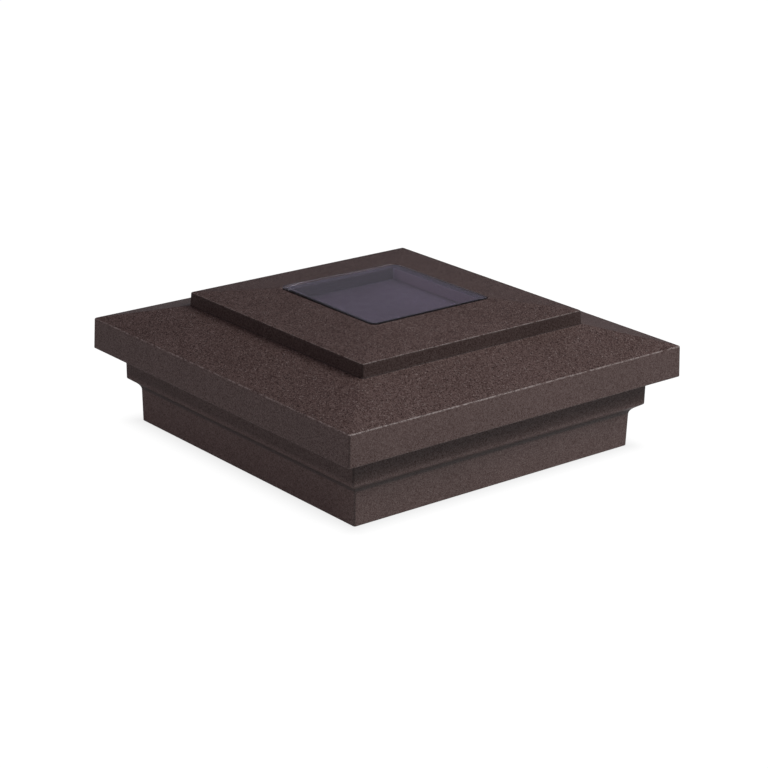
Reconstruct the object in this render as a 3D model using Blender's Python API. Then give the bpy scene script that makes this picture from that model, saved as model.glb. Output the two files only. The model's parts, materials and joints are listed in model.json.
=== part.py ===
"""Solar post-cap light: a two-step square cap over a skirt that sleeves the end of a post.

The rim of the skirt stands on z = 0 and the post comes up from below. Lengths are written in millimetres and
turned into metres by MM. "Half" is the distance from the middle of a square ring to its flat side.
"""

from math import cos, pi, radians, sin

import bmesh
import bpy
from mathutils import Matrix, Vector

MM = 0.001
GAP = 0.3  # between faces that touch

# Castings, outside
CAP_HALF = 65.0  # top edge of the fascia
FASCIA_FOOT_HALF = 65.3
FASCIA_FOOT_Z = 23.65
FASCIA_TOP_Z = 33.6
TIER_FOOT_HALF = 43.35
TIER_FOOT_Z = 39.3
TIER_TOP_HALF = 43.1
TIER_TOP_Z = 43.6
WINDOW_HALF = 23.3
WINDOW_Z = 46.3
SKIRT_FOOT_HALF = 54.4
SKIRT_NECK_HALF = 54.65
SKIRT_NECK_Z = 10.4
COVE_RADIUS = 2.75
COVE_SLOPE = radians(35.5)
LEDGE_FOOT_HALF = 58.0
LEDGE_FOOT_Z = 14.15
LEDGE_HALF = 58.1

# Castings, inside
WALL = 2.5
POST_ROOM_HALF = 51.85  # inside of the skirt wall
SEAT_Z = 22.4  # underside of the skirt's flange, where the top of the post stops
FLANGE_TOP_Z = 24.6
FLANGE_HALF = 44.0  # inner edge of the flange
LIP_HALF = 21.3  # inner edge of the lip that carries the window cover
LIP_Z = 44.3
COLLAR_FOOT_Z = 41.8
GASKET_SLEEVE = 0.6
COVER_PROUD = 0.6  # how far the cover stands over the rim
COVER_CLIPS = (2.4, 1.4, 1.4, 1.4)
PANEL_HALF = 22.0
CELL_THICK = 1.0
CELL_BOARD_THICK = 1.2

# Screws
SKIRT_SCREW_AT = 49.0
HOUSING_SCREW_AT = 33.2
SHANK_RADIUS = 1.45
HOLE_RADIUS = 1.85

# Tray
TRAY_HALF = 43.5
TRAY_WALL = 1.8
TRAY_FLOOR_Z = 22.7
TRAY_FLOOR_TOP_Z = 24.7
TRAY_TOP_Z = 35.8
PILLAR_TOP_Z = 30.0

# Battery, an AA cell lying along X
CELL_RADIUS = 7.25
CELL_LENGTH = 49.2
CELL_CENTRE = (1.2, -28.6, 33.1)

# Battery door
DOOR_AXIS_Y = -35.3
DOOR_AXIS_Z = 23.85
DOOR_THICK = 1.8
DOOR_HALF_X = 28.1
DOOR_FREE_Y = -18.9
DOOR_TAB_Y = -12.6
DOOR_SCREW_Y = -15.6

# Main board and switch
BOARD_Z = 30.0
BOARD_THICK = 1.6
SWITCH_Y = 24.0
KNOB_TRAVEL = 2.2

# Light ring
RING_IN_HALF = 53.2
RING_OUT_HALF = 62.25
RING_Z = FLANGE_TOP_Z + GAP
RING_TOP_Z = 27.0
LED_BOARD_AT = 59.9
LED_BOARD_Z = 28.8

COLOURS = {
    "bronze coat": ((0.085, 0.064, 0.061), 0.45, 0.35),
    "clear plastic": ((0.80, 0.82, 0.86), 0.06, 0.0),
    "black rubber": ((0.012, 0.012, 0.013), 0.75, 0.0),
    "silicon": ((0.035, 0.035, 0.055), 0.22, 0.2),
    "board green": ((0.020, 0.110, 0.055), 0.45, 0.0),
    "board white": ((0.75, 0.75, 0.72), 0.50, 0.0),
    "black plastic": ((0.022, 0.022, 0.024), 0.50, 0.0),
    "frosted plastic": ((0.78, 0.78, 0.76), 0.60, 0.0),
    "zinc": ((0.62, 0.61, 0.58), 0.30, 1.0),
    "nickel": ((0.70, 0.67, 0.60), 0.22, 1.0),
    "cell wrap": ((0.060, 0.220, 0.110), 0.35, 0.0),
    "red lead": ((0.420, 0.020, 0.015), 0.45, 0.0),
    "black lead": ((0.015, 0.015, 0.016), 0.45, 0.0),
    "foam": ((0.050, 0.050, 0.052), 0.95, 0.0),
    "phosphor": ((0.900, 0.620, 0.120), 0.35, 0.0),
    "ferrite": ((0.045, 0.045, 0.048), 0.60, 0.0),
    "knob white": ((0.700, 0.700, 0.680), 0.40, 0.0),
}


def clear_scene():
    for old in list(bpy.data.objects):
        bpy.data.objects.remove(old, do_unlink=True)


def material(name):
    """The Principled material of this name, made once."""
    made = bpy.data.materials.get(name)
    if made:
        return made
    colour, roughness, metallic = COLOURS[name]
    made = bpy.data.materials.new(name)
    made.use_nodes = True
    shader = made.node_tree.nodes["Principled BSDF"]
    shader.inputs["Base Color"].default_value = (*colour, 1.0)
    shader.inputs["Roughness"].default_value = roughness
    shader.inputs["Metallic"].default_value = metallic
    return made


def add_object(name, bm, finish, at=(0, 0, 0)):
    """Makes an object from millimetre bmesh geometry, with its origin at the given point."""
    bmesh.ops.recalc_face_normals(bm, faces=bm.faces)
    bm.transform(Matrix.Scale(MM, 4) @ Matrix.Translation(-Vector(at)))
    mesh = bpy.data.meshes.new(name)
    bm.to_mesh(mesh)
    bm.free()
    mesh.shade_smooth()
    mesh.set_sharp_from_angle(angle=radians(35))
    mesh.materials.append(material(finish))
    made = bpy.data.objects.new(name, mesh)
    made.location = Vector(at) * MM
    bpy.context.scene.collection.objects.link(made)
    return made


def box_into(bm, low, high):
    """Adds a box between two corners."""
    size = Vector(high) - Vector(low)
    middle = (Vector(high) + Vector(low)) / 2
    bmesh.ops.create_cube(bm, size=1.0, matrix=Matrix.Translation(middle) @ Matrix.Diagonal((*size, 1.0)))


def rod_into(bm, foot, length, radius, axis="Z", sides=20, top_radius=None):
    """Adds a round rod that starts at its foot and runs along a positive axis."""
    turn = {
        "X": Matrix.Rotation(pi / 2, 4, "Y"),
        "Y": Matrix.Rotation(-pi / 2, 4, "X"),
        "Z": Matrix.Identity(4),
    }
    place = Matrix.Translation(foot) @ turn[axis] @ Matrix.Translation((0, 0, length / 2))
    bmesh.ops.create_cone(
        bm,
        cap_ends=True,
        segments=sides,
        radius1=radius,
        radius2=radius if top_radius is None else top_radius,
        depth=length,
        matrix=place,
    )


def square_ring_into(bm, outline):
    """Adds a mitred square ring. The outline is a closed loop of (half, z) points."""
    corners = ((1, 1), (-1, 1), (-1, -1), (1, -1))
    rings = [[bm.verts.new((half * x, half * y, z)) for x, y in corners] for half, z in outline]
    for ring, following in zip(rings, rings[1:] + rings[:1]):
        for side in range(4):
            beyond = (side + 1) % 4
            bm.faces.new((ring[side], ring[beyond], following[beyond], following[side]))


def turned_into(bm, outline, at, axis="Z", sides=24):
    """Adds a solid turned from (radius, height) points, whose first and last points lie on the axis."""
    turn = {"X": Matrix.Rotation(pi / 2, 4, "Y"), "Z": Matrix.Identity(4)}[axis]
    place = Matrix.Translation(at) @ turn
    ends = [bm.verts.new(place @ Vector((0, 0, height))) for height in (outline[0][1], outline[-1][1])]
    rings = []
    for radius, height in outline[1:-1]:
        angles = [2 * pi * step / sides for step in range(sides)]
        circle = [Vector((radius * cos(a), radius * sin(a), height)) for a in angles]
        rings.append([bm.verts.new(place @ point) for point in circle])
    for step in range(sides):
        beyond = (step + 1) % sides
        bm.faces.new((ends[0], rings[0][beyond], rings[0][step]))
        bm.faces.new((ends[1], rings[-1][step], rings[-1][beyond]))
        for lower, upper in zip(rings, rings[1:]):
            bm.faces.new((lower[step], lower[beyond], upper[beyond], upper[step]))


def outline_slab_into(bm, outline, low, high):
    """Adds a slab with the given (x, y) outline between two heights."""
    lower = [bm.verts.new((x, y, low)) for x, y in outline]
    upper = [bm.verts.new((x, y, high)) for x, y in outline]
    bm.faces.new(lower)
    bm.faces.new(upper)
    for step in range(len(outline)):
        beyond = (step + 1) % len(outline)
        bm.faces.new((lower[step], lower[beyond], upper[beyond], upper[step]))


def clipped_square(half, clips):
    """The outline of a square whose corners are cut off, by one length for each corner of corner_signs."""
    outline = []
    for number, ((x, y), clip) in enumerate(zip(corner_signs(), clips)):
        ends = [(x * half, y * (half - clip)), (x * (half - clip), y * half)]
        outline += ends[::-1] if number % 2 else ends
    return outline


def bevelled(thing, width, segments=2, angle=30):
    bevel = thing.modifiers.new("edge radius", "BEVEL")
    bevel.width = width * MM
    bevel.segments = segments
    bevel.limit_method = "ANGLE"
    bevel.angle_limit = radians(angle)
    return thing


def helper(name, bm):
    """An object that only shapes another one."""
    made = add_object(name, bm, "black plastic")
    made.hide_render = True
    made.display_type = "WIRE"
    return made


def combined(thing, bm, operation, tool):
    """Adds or cuts the shape in bm, which is kept as a hidden object named after the thing and the tool."""
    boolean = thing.modifiers.new(tool, "BOOLEAN")
    boolean.operation = operation
    boolean.solver = "EXACT"
    boolean.use_self = True
    boolean.object = helper(f"{thing.name}_{tool}", bm)


def corner_signs():
    return ((1, 1), (-1, 1), (-1, -1), (1, -1))


def side_turns():
    """The four sides, each with the turn about Z that brings the front (-Y) side to it."""
    return (("front", 0), ("right", 90), ("back", 180), ("left", 270))


def turned_about_z(bm, degrees):
    bmesh.ops.rotate(bm, verts=bm.verts, cent=(0, 0, 0), matrix=Matrix.Rotation(radians(degrees), 3, "Z"))


def make_top_cap():
    roof_rise = (TIER_FOOT_Z - FASCIA_TOP_Z) / (CAP_HALF - TIER_FOOT_HALF)
    tier_rise = (WINDOW_Z - TIER_TOP_Z) / (TIER_TOP_HALF - WINDOW_HALF)
    fascia_in = FASCIA_FOOT_HALF - WALL + 0.1
    tier_in = TIER_TOP_HALF - WALL + 0.1
    collar_out = LIP_HALF + WALL

    def under_roof(half):
        return FASCIA_TOP_Z + (CAP_HALF - half) * roof_rise - WALL - 0.1

    def under_tier(half):
        return TIER_TOP_Z + (TIER_TOP_HALF - half) * tier_rise - WALL

    bm = bmesh.new()
    square_ring_into(bm, [
        (FASCIA_FOOT_HALF, FASCIA_FOOT_Z),
        (CAP_HALF, FASCIA_TOP_Z),
        (TIER_FOOT_HALF, TIER_FOOT_Z),
        (TIER_TOP_HALF, TIER_TOP_Z),
        (WINDOW_HALF, WINDOW_Z),
        (WINDOW_HALF, LIP_Z),
        (LIP_HALF, LIP_Z),
        (LIP_HALF, COLLAR_FOOT_Z),
        (collar_out, COLLAR_FOOT_Z),
        (collar_out, under_tier(collar_out)),
        (tier_in, under_tier(tier_in)),
        (tier_in + 0.2, under_roof(tier_in + 0.2)),
        (fascia_in - 0.2, under_roof(fascia_in - 0.2)),
        (fascia_in, FASCIA_FOOT_Z),
    ])
    cap = bevelled(add_object("top_cap", bm, "bronze coat"), 0.55)

    bosses = bmesh.new()
    holes = bmesh.new()
    for x, y in corner_signs():
        at = HOUSING_SCREW_AT
        foot = PILLAR_TOP_Z + GAP
        rod_into(bosses, (x * at, y * at, foot), under_tier(at) + 1.0 - foot, 2.7)
        rod_into(holes, (x * at, y * at, foot - 1.0), 9.2, HOLE_RADIUS)
        at = SKIRT_SCREW_AT
        foot = FLANGE_TOP_Z + GAP
        rod_into(bosses, (x * at, y * at, foot), under_roof(at) + 0.9 - foot, 3.2)
        rod_into(holes, (x * at, y * at, foot - 1.0), 8.0, HOLE_RADIUS)
    combined(cap, bosses, "UNION", "bosses")
    combined(cap, holes, "DIFFERENCE", "holes")


def make_skirt():
    turn = pi / 2 - COVE_SLOPE
    centre_half = SKIRT_NECK_HALF + COVE_RADIUS
    angles = [turn * step / 4 for step in range(5)]
    cove = [(centre_half - COVE_RADIUS * cos(a), SKIRT_NECK_Z + COVE_RADIUS * sin(a)) for a in angles]
    bm = bmesh.new()
    square_ring_into(bm, [
        (SKIRT_FOOT_HALF, 0.0),
        *cove,
        (LEDGE_FOOT_HALF, LEDGE_FOOT_Z),
        (LEDGE_HALF, FLANGE_TOP_Z),
        (FLANGE_HALF, FLANGE_TOP_Z),
        (FLANGE_HALF, SEAT_Z),
        (LEDGE_HALF - WALL - 0.3, SEAT_Z),
        (LEDGE_HALF - WALL - 0.3, LEDGE_FOOT_Z + 1.4),
        (POST_ROOM_HALF, SKIRT_NECK_Z + 1.2),
        (POST_ROOM_HALF, 0.0),
    ])
    skirt = bevelled(add_object("skirt", bm, "bronze coat"), 0.4)
    holes = bmesh.new()
    for x, y in corner_signs():
        at = SKIRT_SCREW_AT
        rod_into(holes, (x * at, y * at, SEAT_Z - 1), FLANGE_TOP_Z - SEAT_Z + 2, HOLE_RADIUS)
        sink = 1.7
        rod_into(holes, (x * at, y * at, SEAT_Z - 0.5), sink + 0.5, 3.4, top_radius=HOLE_RADIUS - 0.1)
    combined(skirt, holes, "DIFFERENCE", "holes")


def make_window():
    cover_half = WINDOW_HALF - 0.45
    gasket_top = LIP_Z + GAP + 0.5
    bm = bmesh.new()
    outline_slab_into(bm, clipped_square(cover_half, COVER_CLIPS), gasket_top + GAP, WINDOW_Z + COVER_PROUD)
    bevelled(add_object("panel_cover", bm, "clear plastic"), 0.35)

    # An angle section: the flange lies under the cover, and the sleeve lines the well down to the cell.
    bm = bmesh.new()
    square_ring_into(bm, [
        (cover_half - 0.1, LIP_Z + GAP),
        (cover_half - 0.1, gasket_top),
        (LIP_HALF - GAP - GASKET_SLEEVE, gasket_top),
        (LIP_HALF - GAP - GASKET_SLEEVE, COLLAR_FOOT_Z + 0.1),
        (LIP_HALF - GAP, COLLAR_FOOT_Z + 0.1),
        (LIP_HALF - GAP, LIP_Z + GAP),
    ])
    add_object("cover_gasket", bm, "black rubber")

    # The cell is bonded to the foot of the well, and its board is under it.
    cell_top = COLLAR_FOOT_Z - 0.4
    cell_foot = cell_top - CELL_THICK
    bm = bmesh.new()
    outline_slab_into(bm, clipped_square(PANEL_HALF, (1.2, 1.2, 1.2, 1.2)), cell_foot, cell_top)
    add_object("solar_cell", bm, "silicon")

    board_top = cell_foot - GAP
    half = PANEL_HALF + 0.4
    bm = bmesh.new()
    box_into(bm, (-half, -half, board_top - CELL_BOARD_THICK), (half, half, board_top))
    add_object("cell_board", bm, "board green")


def make_tray():
    """The tray opens upwards. Its battery bay has a thicker floor, with the door's pocket under it."""
    bay_top = 26.5
    pocket_top = 25.65
    y_axis = CELL_CENTRE[1]
    inner = TRAY_HALF - TRAY_WALL
    bm = bmesh.new()
    box_into(bm, (-TRAY_HALF, -TRAY_HALF, TRAY_FLOOR_Z), (TRAY_HALF, TRAY_HALF, TRAY_TOP_Z))
    tray = bevelled(add_object("housing_tray", bm, "black plastic"), 1.0)

    hollow = bmesh.new()
    box_into(hollow, (-inner, -inner, TRAY_FLOOR_TOP_Z), (inner, inner, TRAY_TOP_Z + 5))
    combined(tray, hollow, "DIFFERENCE", "hollow")

    added = bmesh.new()
    box_into(added, (-inner - 0.5, -inner - 0.5, TRAY_FLOOR_TOP_Z - 0.5), (inner + 0.5, -17.6, bay_top))
    combined(tray, added, "UNION", "bay")

    added = bmesh.new()
    box_into(added, (27.8, -inner - 0.5, bay_top - 0.5), (29.0, -19.2, PILLAR_TOP_Z + 5))
    box_into(added, (-30.1, -inner - 0.5, bay_top - 0.5), (-28.7, -19.2, PILLAR_TOP_Z + 5))
    rod_into(added, (0, DOOR_SCREW_Y, TRAY_FLOOR_TOP_Z - 0.5), BOARD_Z - 0.9 - TRAY_FLOOR_TOP_Z + 0.5, 2.6)
    box_into(added, (-6.0, DOOR_SCREW_Y - 3.6, TRAY_FLOOR_TOP_Z - 0.5), (6.0, DOOR_TAB_Y + 1.6, bay_top))
    combined(tray, added, "UNION", "posts")

    added = bmesh.new()
    for x, y in corner_signs():
        at = HOUSING_SCREW_AT
        rod_into(added, (x * at, y * at, TRAY_FLOOR_TOP_Z - 0.5), PILLAR_TOP_Z - TRAY_FLOOR_TOP_Z + 0.5, 4.0)
    combined(tray, added, "UNION", "pillars")

    cut = bmesh.new()
    for x, y in corner_signs():
        at = HOUSING_SCREW_AT
        rod_into(cut, (x * at, y * at, TRAY_FLOOR_Z - 1), 3.6, 3.1)
    pocket_half = DOOR_HALF_X + GAP
    box_into(cut, (-pocket_half, -36.75, TRAY_FLOOR_Z - 1), (pocket_half, DOOR_FREE_Y + 0.4, pocket_top))
    for notch, (_, degrees) in enumerate(side_turns()[1:]):
        slot = bmesh.new()
        box_into(slot, (-2.0, -TRAY_HALF - 1, 33.0), (2.0, -inner + 1, TRAY_TOP_Z + 1))
        turned_about_z(slot, degrees)
        piece = bpy.data.meshes.new(f"notch_{notch}")
        slot.to_mesh(piece)
        slot.free()
        cut.from_mesh(piece)
    combined(tray, cut, "DIFFERENCE", "pocket")

    cut = bmesh.new()
    for x, y in corner_signs():
        at = HOUSING_SCREW_AT
        rod_into(cut, (x * at, y * at, TRAY_FLOOR_Z + 2.0), PILLAR_TOP_Z, HOLE_RADIUS)
    box_into(cut, (-24.0, y_axis - 7.4, pocket_top - 1), (26.6, y_axis + 7.4, bay_top + 3))
    box_into(cut, (-4.4, DOOR_FREE_Y - 1, TRAY_FLOOR_Z - 1), (4.4, DOOR_TAB_Y + 0.4, DOOR_AXIS_Z + 1.25))
    pin_hole = DOOR_HALF_X + 1.7
    rod_into(cut, (-pin_hole, DOOR_AXIS_Y, DOOR_AXIS_Z), 2 * pin_hole, 0.8, axis="X", sides=16)
    box_into(cut, (-3.2, SWITCH_Y - 1.7, TRAY_FLOOR_Z - 1), (3.2, SWITCH_Y + 1.7, TRAY_FLOOR_TOP_Z + 1))
    combined(tray, cut, "DIFFERENCE", "openings")

    cut = bmesh.new()
    rod_into(cut, (0, DOOR_SCREW_Y, DOOR_AXIS_Z), 4.4, 1.4, sides=16)
    combined(tray, cut, "DIFFERENCE", "screw_hole")


def make_battery_door():
    """The door turns about the stub pins at its outer edge, so its origin is on their axis."""
    hinge_line = (0, DOOR_AXIS_Y, DOOR_AXIS_Z)
    low = DOOR_AXIS_Z - DOOR_THICK / 2
    high = DOOR_AXIS_Z + DOOR_THICK / 2
    bm = bmesh.new()
    outline_slab_into(bm, [
        (-DOOR_HALF_X, DOOR_AXIS_Y), (DOOR_HALF_X, DOOR_AXIS_Y), (DOOR_HALF_X, DOOR_FREE_Y),
        (4.0, DOOR_FREE_Y), (4.0, DOOR_TAB_Y), (-4.0, DOOR_TAB_Y), (-4.0, DOOR_FREE_Y),
        (-DOOR_HALF_X, DOOR_FREE_Y),
    ], low, high)
    door = add_object("battery_door", bm, "black plastic", at=hinge_line)
    knuckle = bmesh.new()
    round_edge = DOOR_THICK / 2 - 0.005
    rod_into(knuckle, (-DOOR_HALF_X, DOOR_AXIS_Y, DOOR_AXIS_Z), 2 * DOOR_HALF_X, round_edge, axis="X")
    combined(door, knuckle, "UNION", "knuckle")
    pins = bmesh.new()
    pin_end = DOOR_HALF_X + 1.2
    rod_into(pins, (-pin_end, DOOR_AXIS_Y, DOOR_AXIS_Z), 2 * pin_end, 0.5, axis="X", sides=12)
    combined(door, pins, "UNION", "pins")
    cut = bmesh.new()
    rod_into(cut, (0, DOOR_SCREW_Y, low - 1), DOOR_THICK + 2, 1.35, sides=16)
    rod_into(cut, (0, DOOR_SCREW_Y, low - 1), 1.9, 2.5)
    for rib in range(6):
        x = -12.5 + 5 * rib
        box_into(cut, (x - 0.5, -31.0, low - 1), (x + 0.5, -24.0, low + 0.5))
    combined(door, cut, "DIFFERENCE", "cuts")

    bm = bmesh.new()
    gasket_low = high + GAP
    outer = [(-26.2, -36.5), (27.4, -36.5), (27.4, -20.2), (-26.2, -20.2)]
    outline_slab_into(bm, outer, gasket_low, gasket_low + 0.25)
    gasket = add_object("door_gasket", bm, "black rubber")
    cut = bmesh.new()
    box_into(cut, (-24.4, -36.0, gasket_low - 1), (25.6, -21.2, gasket_low + 2))
    combined(gasket, cut, "DIFFERENCE", "opening")

    bm = bmesh.new()
    outline = [(0, 0), (2.1, 0), (2.1, 0.7), (1.0, 0.75), (1.0, 3.7), (0, 3.7)]
    turned_into(bm, outline, (0, DOOR_SCREW_Y, low + 0.1), sides=16)
    screw = add_object("door_screw", bm, "zinc")
    cut = bmesh.new()
    box_into(cut, (-1.6, DOOR_SCREW_Y - 0.3, low - 1), (1.6, DOOR_SCREW_Y + 0.3, low + 0.5))
    combined(screw, cut, "DIFFERENCE", "slot")


def make_screw(name, at, head, head_height, shank_length, foot_z, countersunk):
    """A cross-recessed screw whose head is at the bottom."""
    x, y = at
    shoulder = (SHANK_RADIUS, head_height) if countersunk else (head, head_height - 0.1)
    bm = bmesh.new()
    turned_into(bm, [
        (0, 0), (head, 0), (head, 0.25), shoulder, (SHANK_RADIUS, head_height + 0.05),
        (SHANK_RADIUS, shank_length - 0.6), (SHANK_RADIUS * 0.6, shank_length), (0, shank_length),
    ], (x, y, foot_z), sides=16)
    screw = add_object(name, bm, "zinc")
    cross = bmesh.new()
    box_into(cross, (x - 1.3, y - 0.3, foot_z - 1), (x + 1.3, y + 0.3, foot_z + 0.8))
    combined(screw, cross, "DIFFERENCE", "slot")
    cross = bmesh.new()
    box_into(cross, (x - 0.3, y - 1.3, foot_z - 1), (x + 0.3, y + 1.3, foot_z + 0.8))
    combined(screw, cross, "DIFFERENCE", "cross")


def make_screws():
    for number, (x, y) in enumerate(corner_signs(), 1):
        at = (x * HOUSING_SCREW_AT, y * HOUSING_SCREW_AT)
        make_screw(f"housing_screw_{number}", at, 2.7, 1.9, 14.0, TRAY_FLOOR_Z + 0.3, False)
        at = (x * SKIRT_SCREW_AT, y * SKIRT_SCREW_AT)
        make_screw(f"skirt_screw_{number}", at, 2.7, 1.55, 8.5, SEAT_Z + 0.1, True)


def make_light_ring():
    slot_in = LEDGE_HALF + 0.35
    bm = bmesh.new()
    square_ring_into(bm, [
        (RING_OUT_HALF, RING_TOP_Z),
        (RING_OUT_HALF, RING_Z - 0.6),
        (RING_OUT_HALF - 0.7, RING_Z - 1.0),
        (slot_in + 0.5, RING_Z - 1.0),
        (slot_in, RING_Z - 0.6),
        (slot_in, RING_Z),
        (RING_IN_HALF, RING_Z),
        (RING_IN_HALF, RING_TOP_Z),
    ])
    ring = add_object("diffuser_ring", bm, "frosted plastic")
    pegs = bmesh.new()
    for x, y in ((1, 0), (-1, 0), (0, 1), (0, -1)):
        for along in (-22.0, 22.0):
            centre = Vector((x * LED_BOARD_AT + abs(y) * along, y * LED_BOARD_AT + abs(x) * along, 0))
            low = centre + Vector((-1.2, -1.2, RING_TOP_Z - 0.5))
            high = centre + Vector((1.2, 1.2, LED_BOARD_Z - GAP))
            box_into(pegs, low, high)
    combined(ring, pegs, "UNION", "pegs")

    for side, degrees in side_turns():
        bm = bmesh.new()
        low = (-24.0, -LED_BOARD_AT - 2.3, LED_BOARD_Z)
        high = (24.0, -LED_BOARD_AT + 2.3, LED_BOARD_Z + 1.0)
        box_into(bm, low, high)
        turned_about_z(bm, degrees)
        add_object(f"led_board_{side}", bm, "board white")
        for number, x in enumerate((-13.0, 13.0), 1):
            top = LED_BOARD_Z - GAP
            bm = bmesh.new()
            box_into(bm, (x - 1.75, -LED_BOARD_AT - 1.4, top - 0.8), (x + 1.75, -LED_BOARD_AT + 1.4, top))
            turned_about_z(bm, degrees)
            add_object(f"led_{side}_{number}", bm, "phosphor")


def make_board_spacers():
    """Plastic spacers that hold the main board off the tray's floor."""
    foot = TRAY_FLOOR_TOP_Z + GAP
    height = BOARD_Z - GAP - foot
    places = [(x, y) for x in (-12.0, 12.0) for y in (-12.5, 29.0)]
    for number, (x, y) in enumerate(places, 1):
        bm = bmesh.new()
        turned_into(bm, [
            (0, 0), (2.6, 0), (2.6, 0.7), (1.8, 1.1), (1.8, height - 0.2), (1.6, height), (0, height),
        ], (x, y, foot), sides=16)
        add_object(f"board_spacer_{number}", bm, "frosted plastic")


def make_electronics():
    top = BOARD_Z + BOARD_THICK
    bm = bmesh.new()
    box_into(bm, (-16.5, -17.0, BOARD_Z), (16.5, 33.0, top))
    add_object("main_board", bm, "board green")
    bm = bmesh.new()
    box_into(bm, (-8.0, 4.0, top + GAP), (-3.1, 10.0, top + GAP + 1.6))
    add_object("driver_chip", bm, "ferrite")
    bm = bmesh.new()
    rod_into(bm, (6.0, 8.0, top + GAP), 3.2, 3.4, sides=16)
    bevelled(add_object("power_inductor", bm, "ferrite"), 0.4, 1)
    bm = bmesh.new()
    rod_into(bm, (-6.0, 20.0, top + GAP), 4.2, 2.5, sides=16)
    bevelled(add_object("storage_capacitor", bm, "nickel"), 0.4, 1)

    body_low = 25.2
    body_high = BOARD_Z - GAP
    bm = bmesh.new()
    box_into(bm, (-4.3, SWITCH_Y - 2.3, body_low), (4.3, SWITCH_Y + 2.3, body_high))
    body = add_object("switch_body", bm, "black plastic")
    room = bmesh.new()
    box_into(room, (-3.15, SWITCH_Y - 1.75, body_low + 0.8), (3.15, SWITCH_Y + 1.75, body_low + 2.4))
    combined(body, room, "DIFFERENCE", "room")
    mouth = bmesh.new()
    box_into(mouth, (-2.5, SWITCH_Y - 1.15, body_low - 1), (2.5, SWITCH_Y + 1.15, body_low + 1.2))
    combined(body, mouth, "DIFFERENCE", "mouth")

    x = -KNOB_TRAVEL / 2
    bm = bmesh.new()
    tip = TRAY_FLOOR_Z + 0.25
    box_into(bm, (x - 0.95, SWITCH_Y - 0.85, tip), (x + 0.95, SWITCH_Y + 0.85, body_low + 1.5))
    knob = add_object("switch_knob", bm, "knob white", at=(x, SWITCH_Y, tip))
    foot = bmesh.new()
    box_into(foot, (x - 1.6, SWITCH_Y - 1.4, body_low + 1.1), (x + 1.6, SWITCH_Y + 1.4, body_low + 2.1))
    combined(knob, foot, "UNION", "foot")


def make_battery():
    x, y, z = CELL_CENTRE
    half = CELL_LENGTH / 2
    bm = bmesh.new()
    turned_into(bm, [
        (0, -half), (CELL_RADIUS - 0.6, -half), (CELL_RADIUS, -half + 0.5), (CELL_RADIUS, half - 0.5),
        (CELL_RADIUS - 0.6, half), (2.75, half), (2.75, half + 1.3), (0, half + 1.3),
    ], (x, y, z), axis="X", sides=28)
    add_object("battery", bm, "cell wrap")

    plate = x + half + 1.3 + GAP
    bm = bmesh.new()
    box_into(bm, (plate, y - 4.5, z - 5.0), (plate + 0.4, y + 4.5, z + 4.0))
    add_object("plus_contact", bm, "nickel")
    bm = bmesh.new()
    box_into(bm, (-28.4, y - 4.5, z - 5.0), (-28.0, y + 4.5, z + 4.0))
    add_object("minus_contact", bm, "nickel")

    wire = 0.35
    first = -28.0 + wire + GAP
    last = x - half - wire - GAP
    turns = 3.5
    steps = 34
    points = []
    for step in range(steps + 1):
        part = step / steps
        angle = 2 * pi * turns * part
        radius = 3.8 - 1.4 * part
        points.append((first + (last - first) * part, y + radius * cos(angle), z + radius * sin(angle)))
    add_wire("contact_spring", points, wire, "nickel", resolution=1)


def add_wire(name, points, radius, finish, resolution=1):
    """A round wire along a list of points, with closed ends."""
    curve = bpy.data.curves.new(name, "CURVE")
    curve.dimensions = "3D"
    curve.bevel_depth = radius * MM
    curve.bevel_resolution = resolution
    curve.use_fill_caps = True
    spline = curve.splines.new("POLY")
    spline.points.add(len(points) - 1)
    for point, place in zip(spline.points, points):
        point.co = (*(Vector(place) * MM), 1.0)
    curve.materials.append(material(finish))
    made = bpy.data.objects.new(name, curve)
    bpy.context.scene.collection.objects.link(made)
    return made


def smooth_route(points, steps=3):
    """Points on a smooth curve through the given ones."""
    places = [Vector(p) for p in points]
    padded = [2 * places[0] - places[1], *places, 2 * places[-1] - places[-2]]
    route = []
    for before, start, end, after in zip(padded, padded[1:], padded[2:], padded[3:]):
        for step in range(steps):
            t = step / steps
            route.append(
                0.5 * (2 * start + (end - before) * t + (2 * before - 5 * start + 4 * end - after) * t**2
                       + (3 * start - before - 3 * end + after) * t**3)
            )
    return [*route, places[-1]]


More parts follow.
